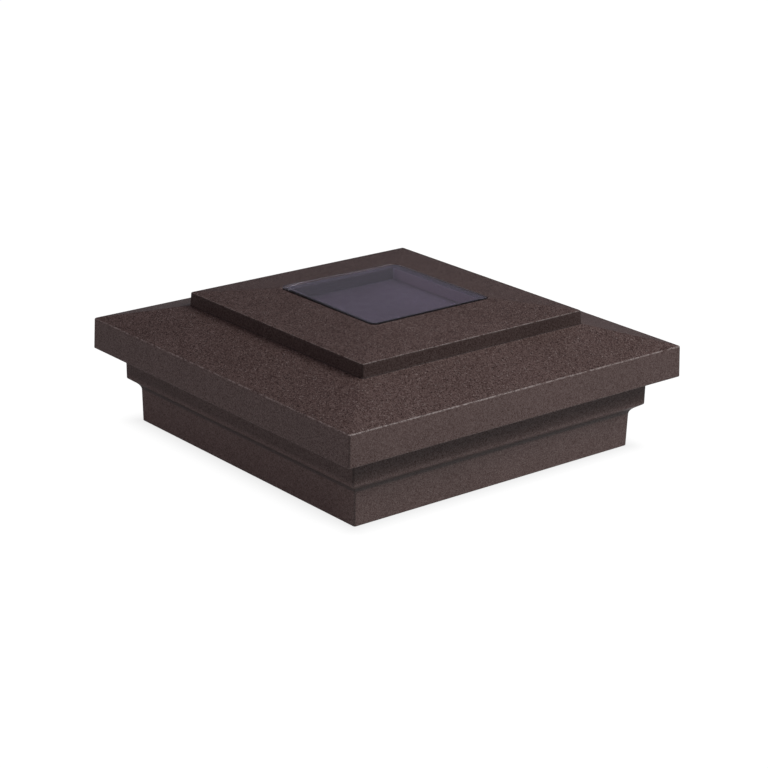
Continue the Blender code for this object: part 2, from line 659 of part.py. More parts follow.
LEADS = {
    "solar_lead_plus": ("red lead", [
        (-9, 12, 38.4), (-9, 13, 36.2), (-10.5, 14.5, 33.6), (-11, 15, 32.6),
    ]),
    "solar_lead_minus": ("black lead", [
        (-12, 8, 38.4), (-12.3, 9, 36.2), (-13, 10.5, 33.6), (-13, 11, 32.6),
    ]),
    "battery_lead_plus": ("red lead", [
        (27.3, -22.9, 31.5), (26.4, -20.2, 31.9), (24.0, -15.6, 32.8), (19.5, -11.8, 33.4),
        (15.5, -11.0, 33.0), (13.6, -11.0, 32.5),
    ]),
    "battery_lead_minus": ("black lead", [
        (-27.9, -22.9, 31.5), (-27.0, -20.2, 31.9), (-24.4, -15.6, 32.8), (-19.5, -11.8, 33.4),
        (-15.5, -11.0, 33.0), (-13.6, -11.0, 32.5),
    ]),
    "led_feed_lead": ("black lead", [
        (0, 30.6, 32.6), (0, 32.6, 33.6), (0, 36.0, 34.3), (0, 41.0, 34.2), (0, 47.0, 33.2), (0, 53.0, 31.8),
        (0, 58.0, 30.9),
    ]),
    "led_lead_back_right": ("black lead", [
        (20.0, 59.8, 30.9), (30.0, 59.4, 31.0), (42.0, 58.2, 31.0), (51.5, 55.9, 31.0),
        (55.9, 51.5, 31.0), (58.2, 42.0, 31.0), (59.4, 30.0, 31.0), (59.8, 20.0, 30.9),
    ]),
    "led_lead_right_front": ("black lead", [
        (59.8, -20.0, 30.9), (59.4, -30.0, 31.0), (58.2, -42.0, 31.0), (55.9, -51.5, 31.0),
        (51.5, -55.9, 31.0), (42.0, -58.2, 31.0), (30.0, -59.4, 31.0), (20.0, -59.8, 30.9),
    ]),
    "led_lead_back_left": ("black lead", [
        (-20.0, 59.8, 30.9), (-30.0, 59.4, 31.0), (-42.0, 58.2, 31.0), (-51.5, 55.9, 31.0),
        (-55.9, 51.5, 31.0), (-58.2, 42.0, 31.0), (-59.4, 30.0, 31.0), (-59.8, 20.0, 30.9),
    ]),
}


def make_leads():
    for name, (finish, points) in LEADS.items():
        add_wire(name, smooth_route(points), 0.6, finish, resolution=2)


def make_grip_pads():
    for side, degrees in side_turns():
        bm = bmesh.new()
        back = POST_ROOM_HALF - GAP
        box_into(bm, (-22.0, -back, 2.0), (22.0, -back + 1.0, 10.0))
        turned_about_z(bm, degrees)
        add_object(f"grip_pad_{side}", bm, "foam")


def main():
    clear_scene()
    make_top_cap()
    make_skirt()
    make_window()
    make_tray()
    make_battery_door()
    make_screws()
    make_light_ring()
    make_board_spacers()
    make_electronics()
    make_battery()
    make_leads()
    make_grip_pads()


main()
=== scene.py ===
"""Solar post-cap light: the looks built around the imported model.

Points and sizes are written in millimetres, as in the model, and turned into metres by MM.
"Half" is the distance from the middle of a square ring to its flat side.
"""

import json
from math import cos, pi, radians, sin, tan

import bmesh
import bpy
from mathutils import Matrix, Vector


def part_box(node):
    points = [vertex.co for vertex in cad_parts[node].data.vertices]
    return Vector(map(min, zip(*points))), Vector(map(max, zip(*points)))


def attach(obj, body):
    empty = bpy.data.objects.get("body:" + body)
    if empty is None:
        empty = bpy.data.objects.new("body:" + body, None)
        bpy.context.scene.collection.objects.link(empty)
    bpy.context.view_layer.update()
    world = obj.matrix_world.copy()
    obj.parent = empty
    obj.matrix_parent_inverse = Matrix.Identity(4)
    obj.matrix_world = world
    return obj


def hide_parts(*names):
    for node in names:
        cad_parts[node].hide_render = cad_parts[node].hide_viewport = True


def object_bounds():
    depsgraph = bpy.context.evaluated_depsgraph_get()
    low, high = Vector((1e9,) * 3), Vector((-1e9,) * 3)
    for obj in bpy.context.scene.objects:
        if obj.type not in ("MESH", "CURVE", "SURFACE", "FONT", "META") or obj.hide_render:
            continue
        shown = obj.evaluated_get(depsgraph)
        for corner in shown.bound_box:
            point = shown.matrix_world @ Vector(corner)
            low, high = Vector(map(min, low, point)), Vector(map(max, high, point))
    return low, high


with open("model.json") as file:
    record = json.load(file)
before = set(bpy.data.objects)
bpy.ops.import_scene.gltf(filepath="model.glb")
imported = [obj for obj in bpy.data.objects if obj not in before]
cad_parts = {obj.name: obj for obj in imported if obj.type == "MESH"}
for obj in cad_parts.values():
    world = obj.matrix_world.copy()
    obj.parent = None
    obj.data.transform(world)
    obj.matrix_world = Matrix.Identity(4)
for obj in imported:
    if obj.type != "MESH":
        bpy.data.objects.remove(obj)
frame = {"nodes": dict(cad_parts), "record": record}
cad_low, cad_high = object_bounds()

MM = 0.001
SIDES = (("front", 0), ("right", 90), ("back", 180), ("left", 270))


def model_box(node):
    """The lowest and highest corners of one of the model's nodes."""
    return [[round(value / MM, 3) for value in point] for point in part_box(node)]


# Taken from the model
FASCIA_FOOT_HALF = cad_high.x / MM
FASCIA_FOOT_Z = model_box("top_cap")[0][2]
FLANGE_TOP_Z = model_box("skirt")[1][2]
PANEL_HALF, _, PANEL_FACE_Z = model_box("solar_cell")[1]
SKIRT_SCREW_AT = sum(x for x, _, _ in model_box("skirt_screw_1")) / 2
HOUSING_SCREW_AT = sum(x for x, _, _ in model_box("housing_screw_1")) / 2

# The same as in the model, where a node's box doesn't tell
CAP_HALF = 65.0
FASCIA_TOP_Z = 33.6
TIER_FOOT_HALF = 43.35
TIER_FOOT_Z = 39.3
TIER_TOP_HALF = 43.1
TIER_TOP_Z = 43.6
WINDOW_HALF = 23.3
WINDOW_Z = 46.3
SKIRT_FOOT_HALF = 54.4
SKIRT_NECK_HALF = 54.65
SKIRT_NECK_Z = 10.4
COVE_RADIUS = 2.75
COVE_SLOPE = radians(35.5)
LEDGE_FOOT_HALF = 58.0
LEDGE_FOOT_Z = 14.15
LEDGE_HALF = 58.1
WALL = 2.5
POST_ROOM_HALF = 51.85
SEAT_Z = 22.4
FLANGE_HALF = 44.0
LIP_HALF = 21.3
LIP_Z = 44.3
COLLAR_FOOT_Z = 41.8
HOLE_RADIUS = 1.85
SHANK_RADIUS = 1.45
GAP = 0.3  # between faces that touch
COVER_CLIPS = (2.4, 1.4, 1.4, 1.4)  # in the order of corner_signs
PILLAR_TOP_Z = 30.0
GASKET_SLEEVE = 0.6

CORNER_RADIUS = 0.55  # of the castings' upright corners
WINDOW_TURN = 2.2  # radius of the window's corners at the rim
CORNER_STEPS = 4
SUPPORT = 0.45  # how far beside a rounded edge the flat face is held flat
EASE = 0.1  # how far the cap's inner faces lie off the nominal wall
PANEL_CLIP = 1.2
COVER_GAP = 0.12  # between the cover and the window's wall
COVER_STEP = 0.12  # how far the cover's face stands over the rim
COVER_LIFT = 0.48  # how much further it stands at the back left
COVER_EDGE_DROP = 0.1  # how much lower its outermost line is
GASKET_THICK = 0.5


# ---- Meshes ----

def corner_signs():
    """The directions of a square's corners, counter-clockwise from the back right."""
    return ((1, 1), (-1, 1), (-1, -1), (1, -1))


def finish_mesh(name, bm, material, smooth_angle=40, at=(0, 0, 0)):
    """Makes an object from millimetre bmesh geometry."""
    bmesh.ops.recalc_face_normals(bm, faces=bm.faces)
    bm.transform(Matrix.Scale(MM, 4) @ Matrix.Translation(-Vector(at)))
    mesh = bpy.data.meshes.new(name)
    bm.to_mesh(mesh)
    bm.free()
    mesh.shade_smooth()
    if smooth_angle:
        mesh.set_sharp_from_angle(angle=radians(smooth_angle))
    mesh.materials.append(material)
    made = bpy.data.objects.new(name, mesh)
    made.location = Vector(at) * MM
    bpy.context.scene.collection.objects.link(made)
    return made


def place(piece, body, slot, *nodes):
    """Puts a piece on its body, in place of the model's nodes. Its slot is not used."""
    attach(piece, body)
    if nodes:
        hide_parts(*nodes)
    return piece


def corner(half, z, radius, wear_and_highlight=0.0, shade=0.0, turn=CORNER_RADIUS):
    """One corner of a ring's profile, with the radius that rounds it.

    Wear_and_highlight is how much lighter an outer corner is painted, for rubbed coat and a painted
    highlight together. Shade is how much painted shade darkens the face after it.
    Turn is the radius of the ring's upright corners at this height.
    """
    return half, z, radius, wear_and_highlight, shade, turn


def rounded_profile(corners, steps=4):
    """Turns a closed loop of corners into (half, z, edge, shade, turn) points on rounded corners.

    Edge rises to the wear_and_highlight in the middle of a corner that stands out, and falls to -1 in one
    that goes in, where painted crease shade goes.
    """
    followed = corners[1:] + corners[:1]
    turning = sum(a[0] * b[1] - b[0] * a[1] for a, b in zip(corners, followed))
    made = []
    for before, here, after in zip(corners[-1:] + corners[:-1], corners, followed):
        tip = Vector(here[:2])
        back = Vector(before[:2]) - tip
        ahead = Vector(after[:2]) - tip
        _, _, radius, wear_and_highlight, shade, turn = here
        opening = back.angle(ahead)
        outward = (back.x * ahead.y - back.y * ahead.x) * turning < 0
        peak = wear_and_highlight if outward else -1.0
        reach = radius / tan(opening / 2)
        room = [side.length for side in (back, ahead)]
        back.normalize()
        ahead.normalize()
        centre = tip + (back + ahead).normalized() * radius / sin(opening / 2)
        first = tip + back * reach - centre
        last = tip + ahead * reach - centre
        sweep = pi - opening
        if room[0] > 2 * (reach + SUPPORT):
            made.append((*(tip + back * (reach + SUPPORT)), 0.0, before[4], turn))
        for step in range(steps + 1):
            t = step / steps
            spoke = (first * sin((1 - t) * sweep) + last * sin(t * sweep)) / sin(sweep)
            edge = peak * (0.4 + 0.6 * sin(pi * t) if outward else sin(pi * t))
            made.append((*(centre + spoke), edge, before[4] if t < 0.5 else shade, turn))
        if room[1] > 2 * (reach + SUPPORT):
            made.append((*(tip + ahead * (reach + SUPPORT)), 0.0, shade, turn))
    return made


def rounded_square(half, radius):
    """The (x, y, corner) points of a square with round corners, counter-clockwise from +X.

    Corner is 1 in the middle of a round corner and 0 on the flat sides.
    """
    points = []
    inner = half - radius
    for quarter in range(4):
        turn = Matrix.Rotation(quarter * pi / 2, 2)
        points.append((*(turn @ Vector((half, inner - SUPPORT))), 0.0))
        for step in range(CORNER_STEPS + 1):
            t = step / CORNER_STEPS
            arc = Vector((inner + radius * cos(pi / 2 * t), inner + radius * sin(pi / 2 * t)))
            points.append((*(turn @ arc), sin(pi * t)))
        points.append((*(turn @ Vector((inner - SUPPORT, half))), 0.0))
    return points


def quads_between(ring, following):
    """The corners of each face that joins two closed rings."""
    return zip(ring, ring[1:] + ring[:1], following[1:] + following[:1], following)


def casting_into(bm, corners):
    """Adds a square ring with rounded edges, and writes where its edges are painted lighter and how much
    painted shade each face gets.
    """
    edge_layer = bm.verts.layers.float.new("edge")
    corner_layer = bm.verts.layers.float.new("corner")
    shade_layer = bm.faces.layers.float.new("shade")
    profile = rounded_profile(corners)
    rings = []
    for half, z, edge, _, turn in profile:
        ring = []
        for x, y, corner_part in rounded_square(half, turn):
            vert = bm.verts.new((x, y, z))
            vert[edge_layer] = edge
            vert[corner_layer] = corner_part
            ring.append(vert)
        rings.append(ring)
    for (_, _, _, shade, _), ring, following in zip(profile, rings, rings[1:] + rings[:1]):
        for quad in quads_between(ring, following):
            bm.faces.new(quad)[shade_layer] = shade


def tube_into(bm, at, low, high, inner, outer, sides=32):
    """Adds an upright tube between two heights."""
    x, y = at
    angles = [2 * pi * step / sides for step in range(sides)]
    outline = ((inner, low), (outer, low), (outer, high), (inner, high))
    rings = [[bm.verts.new((x + r * cos(a), y + r * sin(a), z)) for a in angles] for r, z in outline]
    for ring, following in zip(rings, rings[1:] + rings[:1]):
        for quad in quads_between(ring, following):
            bm.faces.new(quad)


def rod_into(bm, foot, length, radius, top_radius=None, sides=40):
    """Adds an upright round rod that starts at its foot."""
    bmesh.ops.create_cone(
        bm,
        cap_ends=True,
        segments=sides,
        radius1=radius,
        radius2=radius if top_radius is None else top_radius,
        depth=length,
        matrix=Matrix.Translation(Vector(foot) + Vector((0, 0, length / 2))),
    )


def turned_into(bm, outline, at, sides=36):
    """Adds an upright solid turned from (radius, height) points, whose ends lie on the axis."""
    base = Vector(at)
    foot = bm.verts.new(base + Vector((0, 0, outline[0][1])))
    tip = bm.verts.new(base + Vector((0, 0, outline[-1][1])))
    rings = []
    angles = [2 * pi * step / sides for step in range(sides)]
    for radius, height in outline[1:-1]:
        spots = [base + Vector((radius * cos(a), radius * sin(a), height)) for a in angles]
        rings.append([bm.verts.new(spot) for spot in spots])
    for step in range(sides):
        beyond = (step + 1) % sides
        bm.faces.new((foot, rings[0][beyond], rings[0][step]))
        bm.faces.new((tip, rings[-1][step], rings[-1][beyond]))
        for lower, upper in zip(rings, rings[1:]):
            bm.faces.new((lower[step], lower[beyond], upper[beyond], upper[step]))


def slab_into(bm, outline, low, high):
    """Adds a slab with the given (x, y) outline between two heights."""
    lower = [bm.verts.new((x, y, low)) for x, y in outline]
    upper = [bm.verts.new((x, y, high)) for x, y in outline]
    bm.faces.new(lower)
    bm.faces.new(upper)
    for step in range(len(outline)):
        beyond = (step + 1) % len(outline)
        bm.faces.new((lower[step], lower[beyond], upper[beyond], upper[step]))


def clipped_square(half, clip):
    """The (x, y) points of a square with equal flat clips at its corners."""
    inner = half - clip
    return [
        (half, -inner), (half, inner), (inner, half), (-inner, half),
        (-half, inner), (-half, -inner), (-inner, -half), (inner, -half),
    ]


def turn_about_z(bm, degrees):
    turn = Matrix.Rotation(radians(degrees), 3, "Z")
    bmesh.ops.rotate(bm, verts=bm.verts, cent=(0, 0, 0), matrix=turn)


def bevel(piece, width, segments=3, angle=30):
    modifier = piece.modifiers.new("edge radius", "BEVEL")
    modifier.width = width * MM
    modifier.segments = segments
    modifier.limit_method = "ANGLE"
    modifier.angle_limit = radians(angle)
    modifier.harden_normals = True
    return piece


def boolean(piece, bm, operation):
    """Joins or cuts a bmesh and keeps the result in the piece's own mesh."""
    tool = finish_mesh(f"{piece.name}_tool", bm, piece.data.materials[0])
    modifier = piece.modifiers.new(operation, "BOOLEAN")
    modifier.operation = operation
    modifier.solver = "EXACT"
    modifier.use_self = True
    modifier.object = tool
    keep_result(piece)
    bpy.data.objects.remove(tool)


def keep_result(piece):
    """Replaces the piece's mesh with what its modifiers make of it."""
    graph = bpy.context.evaluated_depsgraph_get()
    graph.update()
    result = bpy.data.meshes.new_from_object(piece.evaluated_get(graph))
    piece.modifiers.clear()
    piece.data = result


# ---- Materials ----

class Surface:
    """A material's node tree, with short calls for the nodes that it uses."""

    def __init__(self, name, colour, roughness, metallic=0.0):
        self.material = bpy.data.materials.new(name)
        self.material.use_nodes = True
        self.tree = self.material.node_tree
        self.shader = self.tree.nodes["Principled BSDF"]
        coordinates = self.tree.nodes.new("ShaderNodeTexCoord").outputs
        self.place = coordinates["Object"]
        self.facing = coordinates["Normal"]
        self.set("Base Color", (*colour, 1.0))
        self.set("Roughness", roughness)
        self.set("Metallic", metallic)

    def set(self, socket, value):
        self.feed(self.shader.inputs[socket], value)

    def feed(self, socket, value):
        if isinstance(value, bpy.types.NodeSocket):
            self.tree.links.new(value, socket)
        else:
            socket.default_value = value

    def node(self, kind, settings, inputs):
        made = self.tree.nodes.new(kind)
        for name, value in settings.items():
            setattr(made, name, value)
        for name, value in inputs.items():
            self.feed(made.inputs[name], value)
        return made

    def noise(self, scale, detail=2.0, place=None):
        inputs = {"Vector": place or self.place, "Scale": scale, "Detail": detail}
        return self.node("ShaderNodeTexNoise", {}, inputs).outputs["Fac"]

    def varied(self, scale, detail=2.0, to_low=0.0, to_high=1.0):
        """Noise spread over a range. Most of a noise lies between 0.3 and 0.7."""
        return self.remap(self.noise(scale, detail), 0.3, 0.7, to_low, to_high)

    def cells(self, scale):
        """A Voronoi texture: its distance output, and its random colour output."""
        made = self.node("ShaderNodeTexVoronoi", {}, {"Vector": self.place, "Scale": scale})
        return made.outputs["Distance"], made.outputs["Color"]

    def stretched(self, x, y, z):
        made = self.node("ShaderNodeMapping", {}, {"Vector": self.place, "Scale": (x, y, z)})
        return made.outputs["Vector"]

    def remap(self, value, low, high, to_low=0.0, to_high=1.0):
        names = ("Value", "From Min", "From Max", "To Min", "To Max")
        made = self.node("ShaderNodeMapRange", {}, dict(zip(names, (value, low, high, to_low, to_high))))
        return made.outputs["Result"]

    def maths(self, operation, a, b=0.0):
        made = self.node("ShaderNodeMath", {"operation": operation}, {0: a, 1: b})
        return made.outputs["Value"]

    def times(self, a, b):
        return self.maths("MULTIPLY", a, b)

    def blend(self, factor, a, b, blend_type="MIX"):
        made = self.tree.nodes.new("ShaderNodeMix")
        made.data_type = "RGBA"
        made.blend_type = blend_type
        for index, value in ((0, factor), (6, a), (7, b)):
            if isinstance(value, tuple):
                value = (*value, 1.0)
            self.feed(made.inputs[index], value)
        return made.outputs[2]

    def split(self, vector):
        """The X, Y and Z of a vector."""
        return self.node("ShaderNodeSeparateXYZ", {}, {"Vector": vector}).outputs

    def attribute(self, name):
        return self.node("ShaderNodeAttribute", {"attribute_name": name}, {}).outputs["Fac"]

    def bump(self, height, strength, distance, under=None):
        inputs = {"Height": height, "Strength": strength, "Distance": distance * MM}
        made = self.node("ShaderNodeBump", {}, inputs)
        if under is not None:
            self.feed(made.inputs["Normal"], under)
        return made.outputs["Normal"]


BRONZE_DARK = (0.0505, 0.0312, 0.0275)
BRONZE_LIGHT = (0.0580, 0.0362, 0.0325)
FLAKE = (0.31, 0.272, 0.26)
PIT_TINT = (1.05, 0.93, 0.92)
GRAIN_TINT = (0.95, 1.07, 1.10)
# The upper edges' colour: rubbed coat and a painted highlight together.
RIM_WEAR_AND_HIGHLIGHT = (0.185, 0.157, 0.150)
# Painted shade for the inner creases and the upright corners.
PAINTED_CREASE_SHADE = (0.026, 0.017, 0.0155)
FINGER_PITCH = 1.6  # of the cell's thin lines
WEAVE_PITCH = 0.55  # of the boards' glass cloth
BAND_AT = 13.8  # where the battery's dark band starts along X


def bronze_coat():
    """Fine textured powder coat with metal flakes. Its upper edges are painted lighter, for rubbed coat and
    a painted highlight; creases, upright corners and recessed walls get painted shade.
    """
    s = Surface("bronze_coat", BRONZE_LIGHT, 0.5)
    level = s.maths("ABSOLUTE", s.split(s.facing)["Z"])
    colour = s.blend(s.varied(38.0, 3.0), BRONZE_DARK, BRONZE_LIGHT)
    pebble = s.cells(4000.0)[1]
    spread = s.remap(level, 0.1, 0.9, 0.35, 0.85)
    grain = s.maths("ADD", 1.0, s.times(s.remap(pebble, 0.1, 0.9, -1.0, 1.0), spread))
    grain = s.times(grain, s.varied(1500.0, 2.0, 0.90, 1.10))
    colour = s.blend(1.0, colour, grain, "MULTIPLY")
    greyed = s.remap(grain, 0.4, 1.8)
    colour = s.blend(1.0, colour, s.blend(greyed, PIT_TINT, GRAIN_TINT), "MULTIPLY")
    distance, random = s.cells(2700.0)
    flake = s.times(s.remap(distance, 0.15, 0.5, 1.0, 0.0), s.remap(random, 0.76, 0.94))
    flake = s.times(flake, s.remap(level, 0.1, 0.9, 0.25, 1.0))
    colour = s.blend(flake, colour, FLAKE)
    edge = s.attribute("edge")
    broken = s.times(s.remap(s.noise(700.0, 3.0), 0.33, 0.55), s.remap(pebble, 0.15, 0.6, 0.3, 1.0))
    # The upper edges are painted lighter: rubbed coat and a painted highlight.
    colour = s.blend(s.times(s.remap(edge, 0.4, 1.0), broken), colour, RIM_WEAR_AND_HIGHLIGHT)
    # Painted shade: a dark line down the upright corners and in the inner creases.
    upright = s.remap(level, 0.2, 0.6, 1.0, 0.0)
    painted_corner_shade = s.times(s.times(s.attribute("corner"), upright), 0.7)
    painted_crease_shade = s.maths("MAXIMUM", s.remap(edge, -0.1, -0.8), painted_corner_shade)
    colour = s.blend(painted_crease_shade, colour, PAINTED_CREASE_SHADE)
    # Painted shade: faces marked with shade are darkened, fading out just above the ledge's foot, and their
    # sheen is dimmed too.
    height = s.split(s.place)["Z"]
    above_ledge_foot = s.remap(height, (LEDGE_FOOT_Z + 0.3) * MM, (LEDGE_FOOT_Z + 1.7) * MM)
    painted_shade_factor = s.maths("SUBTRACT", 1.0, s.times(s.attribute("shade"), above_ledge_foot))
    s.set("Base Color", s.blend(1.0, colour, painted_shade_factor, "MULTIPLY"))
    sheen = s.times(painted_shade_factor, s.remap(level, 0.1, 0.6, 0.31, 0.21))
    s.set("Specular IOR Level", s.times(sheen, s.remap(pebble, 0.1, 0.9, 0.3, 1.7)))
    s.set("Roughness", s.remap(pebble, 0.0, 1.0, 0.44, 0.56))
    orange_peel = s.bump(s.noise(1300.0, 2.0), 0.30, 0.05)
    s.set("Normal", s.bump(pebble, 0.5, 0.035, orange_peel))
    return s.material


def clear_cover():
    """Clear plastic with a faint tint and wiping marks on its faces; its sides are tinted dark as painted
    shade.
    """
    s = Surface("clear_cover", (0.86, 0.80, 0.93), 0.05)
    s.set("Transmission Weight", 1.0)
    s.set("IOR", 1.49)
    # Painted shade: the sides are tinted dark and given little shine.
    side = s.remap(s.maths("ABSOLUTE", s.split(s.facing)["Z"]), 0.93, 0.985, 1.0, 0.0)
    tint = s.blend(s.varied(60.0), (0.86, 0.79, 0.92), (0.88, 0.82, 0.95))
    s.set("Base Color", s.blend(side, tint, (0.42, 0.37, 0.48)))
    s.set("Specular IOR Level", s.remap(side, 0.0, 1.0, 0.5, 0.05))
    wiped = s.remap(s.noise(160.0, 4.0, s.stretched(1.0, 0.25, 1.0)), 0.35, 0.75, 0.02, 0.09)
    s.set("Roughness", wiped)
    s.set("Normal", s.bump(s.noise(35.0, 1.0), 0.06, 0.3))
    return s.material


def well_lining():
    """Black rubber around the window's well. Its right wall carries a painted reflection of the cell beside
    it, and its upward faces are painted a little lighter as a painted highlight.
    """
    s = Surface("well_lining", (0.010, 0.009, 0.012), 0.6)
    facing = s.split(s.facing)
    painted_cell_reflection = s.remap(facing["X"], -0.3, -0.9)
    flange = s.remap(facing["Z"], 0.5, 0.9)
    colour = s.blend(s.varied(90.0, 3.0), (0.004, 0.0036, 0.005), (0.007, 0.006, 0.009))
    # Painted highlight: upward faces a little lighter.
    colour = s.blend(flange, colour, (0.020, 0.018, 0.026))
    # Painted reflection of the cell on the right wall.
    colour = s.blend(painted_cell_reflection, colour, (0.190, 0.165, 0.225))
    s.set("Base Color", colour)
    s.set("Specular IOR Level", 0.1)
    fine = s.noise(1400.0)
    s.set("Roughness", s.remap(fine, 0.3, 0.7, 0.55, 0.7))
    s.set("Normal", s.bump(fine, 0.3, 0.02))
    return s.material


def silicon():
    """A dark violet cell with thin fingers across it, under a laminate that is a little uneven; it is also
    painted darker towards the left as painted shade.
    """
    s = Surface("silicon", (0.06, 0.05, 0.07), 0.35)
    crystals = s.cells(220.0)[1]
    base = s.blend(crystals, (0.050, 0.041, 0.058), (0.058, 0.048, 0.068))
    spot = s.split(s.place)
    # Painted shade: the cell darker towards the left.
    painted_shade_left = s.remap(spot["X"], -PANEL_HALF * MM, 12 * MM, 0.72, 1.06)
    uneven_and_painted_shade = s.times(s.varied(32.0, 1.0, 0.84, 1.16), painted_shade_left)
    base = s.blend(1.0, base, uneven_and_painted_shade, "MULTIPLY")
    across = s.maths("FRACT", s.times(spot["Y"], 1 / (FINGER_PITCH * MM)))
    finger = s.remap(s.maths("ABSOLUTE", s.maths("SUBTRACT", across, 0.5)), 0.04, 0.07, 1.0, 0.0)
    s.set("Base Color", s.blend(s.times(finger, 0.25), base, (0.10, 0.09, 0.12)))
    s.set("Roughness", s.varied(300.0, 2.0, 0.3, 0.45))
    s.set("Normal", s.bump(finger, 0.2, 0.02))
    return s.material


def moulded(name, colour, roughness, bump_distance=0.02, drift=0.12, grain_scale=1400.0):
    """Moulded plastic or rubber: a fine even texture, with slow changes in colour and gloss."""
    s = Surface(name, colour, roughness)
    darker = tuple(c * (1 - drift) for c in colour)
    lighter = tuple(c * (1 + drift) for c in colour)
    s.set("Base Color", s.blend(s.varied(55.0, 3.0), darker, lighter))
    fine = s.noise(grain_scale, 2.0)
    s.set("Roughness", s.remap(fine, 0.3, 0.7, roughness - 0.06, roughness + 0.08))
    s.set("Normal", s.bump(fine, 0.5, bump_distance))
    return s


def brushed_metal(name, colour, roughness):
    """Plated metal with fine marks along one direction and a few dull patches."""
    s = Surface(name, colour, roughness, 1.0)
    marks = s.noise(900.0, 3.0, s.stretched(1.0, 0.12, 1.0))
    dull = s.remap(s.noise(300.0, 3.0), 0.45, 0.75)
    s.set("Base Color", s.blend(dull, colour, tuple(c * 0.72 for c in colour)))
    s.set("Roughness", s.remap(marks, 0.3, 0.7, roughness - 0.08, roughness + 0.14))
    s.set("Normal", s.bump(marks, 0.25, 0.01))
    return s.material


def board(name, colour):
    """A printed board: glass weave under the lacquer."""
    s = Surface(name, colour, 0.4)
    spot = s.split(s.place)
    weave = [s.maths("SINE", s.times(spot[axis], 2 * pi / (WEAVE_PITCH * MM))) for axis in ("X", "Y")]
    cloth = s.times(*weave)
    darker = tuple(c * 0.82 for c in colour)
    s.set("Base Color", s.blend(s.remap(cloth, -1.0, 1.0), darker, colour))
    s.set("Roughness", s.varied(400.0, 2.0, 0.32, 0.5))
    s.set("Normal", s.bump(cloth, 0.15, 0.01))
    return s.material


def foam():
    """Open foam, with painted shade darkening its pores."""
    s = Surface("foam", (0.035, 0.035, 0.037), 0.95)
    distance, random = s.cells(1800.0)
    pore = s.remap(distance, 0.1, 0.5)
    # Painted shade: the pores darker than the foam around them.
    s.set("Base Color", s.blend(pore, (0.014, 0.014, 0.015), (0.05, 0.05, 0.053)))
    s.set("Roughness", s.remap(random, 0.0, 1.0, 0.85, 1.0))
    s.set("Normal", s.bump(pore, 0.9, 0.12))
    return s.material


def cell_wrap():
    """Shrink sleeve: a coloured body with a dark band at one end."""
    s = Surface("cell_wrap", (0.06, 0.22, 0.11), 0.3)
    band = s.remap(s.split(s.place)["X"], BAND_AT * MM, (BAND_AT + 0.2) * MM)
    colour = s.blend(band, (0.055, 0.20, 0.10), (0.02, 0.02, 0.022))
    s.set("Base Color", s.blend(s.times(s.noise(120.0, 3.0), 0.25), colour, (0.1, 0.26, 0.16)))
    s.set("Roughness", s.varied(500.0, 2.0, 0.22, 0.4))
    s.set("Normal", s.bump(s.noise(250.0, 1.0), 0.3, 0.04))
    return s.material


def frosted():
    """Milky plastic that lets some light through."""
    s = moulded("frosted_plastic", (0.72, 0.72, 0.70), 0.5, 0.015)
    s.set("Subsurface Weight", 0.3)
    s.set("Subsurface Radius", (0.002, 0.002, 0.002))
    return s.material


def make_materials():
    """Every material by its slot's name, and the well's lining."""
    return {
        "bronze_coat": bronze_coat(),
        "clear_cover": clear_cover(),
        "well_lining": well_lining(),
        "black_rubber": moulded("black_rubber", (0.011, 0.0105, 0.0125), 0.7, 0.03).material,
        "silicon": silicon(),
        "board_green": board("board_green", (0.020, 0.110, 0.055)),
        "board_white": board("board_white", (0.70, 0.70, 0.67)),
        "black_plastic": moulded("black_plastic", (0.027, 0.027, 0.029), 0.46, 0.03).material,
        "frosted_plastic": frosted(),
        "zinc": brushed_metal("zinc", (0.62, 0.61, 0.58), 0.32),
        "nickel": brushed_metal("nickel", (0.70, 0.67, 0.60), 0.24),
        "cell_wrap": cell_wrap(),
        "red_lead": moulded("red_lead", (0.42, 0.02, 0.015), 0.42, 0.01).material,
        "black_lead": moulded("black_lead", (0.015, 0.015, 0.016), 0.42, 0.01).material,
        "foam": foam(),
        "phosphor": moulded("phosphor", (0.85, 0.62, 0.14), 0.35, 0.01, 0.06, 2600.0).material,
        "ferrite": moulded("ferrite", (0.045, 0.045, 0.048), 0.6, 0.03, 0.2).material,
        "knob_white": moulded("knob_white", (0.66, 0.66, 0.64), 0.38, 0.01, 0.05).material,
    }


# ---- Castings ----

def under_roof(half):
    """The height of the roof's inner face at a half width."""
    rise = (TIER_FOOT_Z - FASCIA_TOP_Z) / (CAP_HALF - TIER_FOOT_HALF)
    return FASCIA_TOP_Z + (CAP_HALF - half) * rise - WALL - EASE


def under_tier(half):
    """The height of the tier's inner face at a half width."""
    rise = (WINDOW_Z - TIER_TOP_Z) / (TIER_TOP_HALF - WINDOW_HALF)
    return TIER_TOP_Z + (TIER_TOP_HALF - half) * rise - WALL


